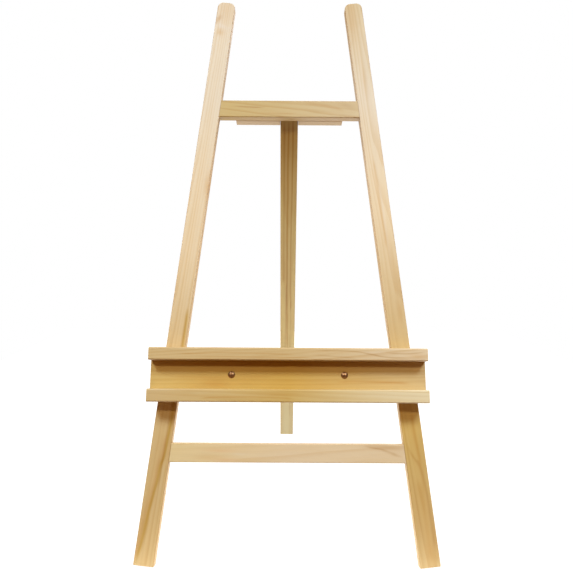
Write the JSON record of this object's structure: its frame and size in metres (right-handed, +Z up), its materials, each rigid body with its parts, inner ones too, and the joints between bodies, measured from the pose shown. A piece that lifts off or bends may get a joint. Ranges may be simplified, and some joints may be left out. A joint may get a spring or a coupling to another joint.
{
  "type": "wooden artist easel",
  "caption": "Free-standing pine artist easel: leaning A-frame, folding rear leg on a steel pin, and a canvas tray clamped at any height.",
  "frame": {"origin": "on the floor, in the middle of the easel's footprint", "axes": "+Z up; -Y is the side the painter stands on, +Y is towards the rear leg; +X is the painter's right; the front frame leans back 16 degrees"},
  "size_m": [0.6648, 0.8012, 1.322],
  "materials": {
    "pine_leg": "sanded, clear satin oil",
    "pine_bar": "sanded, clear satin oil",
    "pine_rear_leg": "sanded, clear satin oil",
    "pine_block": "sanded, clear satin oil",
    "pine_board": "sanded, clear satin oil",
    "pine_rail": "sanded, clear satin oil",
    "beech_dowel": "fluted, unfinished",
    "bronzed_steel": "bronze-coloured plating",
    "zinc_steel": "zinc plated"
  },
  "bodies": {
    "front_frame": {"front_leg_left": "pine_leg", "front_leg_right": "pine_leg", "upper_crossbar": "pine_bar", "lower_crossbar": "pine_bar", "upper_crossbar_dowels": "beech_dowel", "lower_crossbar_dowels": "beech_dowel", "pivot_cheek_left": "pine_block", "pivot_cheek_right": "pine_block", "cheek_screws": "zinc_steel"},
    "rear_leg": {"rear_leg": "pine_rear_leg", "pivot_pin": "zinc_steel"},
    "tray": {"tray_back_board": "pine_board", "tray_upper_rail": "pine_rail", "tray_lower_rail": "pine_rail", "tray_rail_screws": "zinc_steel", "carriage_bolt_left": "bronzed_steel", "carriage_bolt_right": "bronzed_steel", "clamp_block_left": "pine_block", "clamp_block_right": "pine_block", "clamp_washer_left": "zinc_steel", "clamp_washer_right": "zinc_steel"},
    "wing_nut_left": {"wing_nut_left": "zinc_steel"},
    "wing_nut_right": {"wing_nut_right": "zinc_steel"}
  },
  "joints": [
    {"name": "rear_leg_fold", "type": "hinge", "parent": "front_frame", "child": "rear_leg", "pos_m": [0, -0.07406, 1.02497], "axis": [-1, 0, 0], "range_deg": [0, 40.5]},
    {"name": "tray_slide", "type": "slide", "parent": "front_frame", "child": "tray", "axis": [0, 0.2756, 0.9613], "range_m": [-0.12, 0.6]},
    {"name": "wing_nut_left_turn", "type": "hinge", "parent": "tray", "child": "wing_nut_left", "pos_m": [-0.128, -0.24123, 0.38683], "axis": [0, 0.9613, -0.2756], "continuous": true},
    {"name": "wing_nut_right_turn", "type": "hinge", "parent": "tray", "child": "wing_nut_right", "pos_m": [0.128, -0.24123, 0.38683], "axis": [0, 0.9613, -0.2756], "continuous": true}
  ]
}
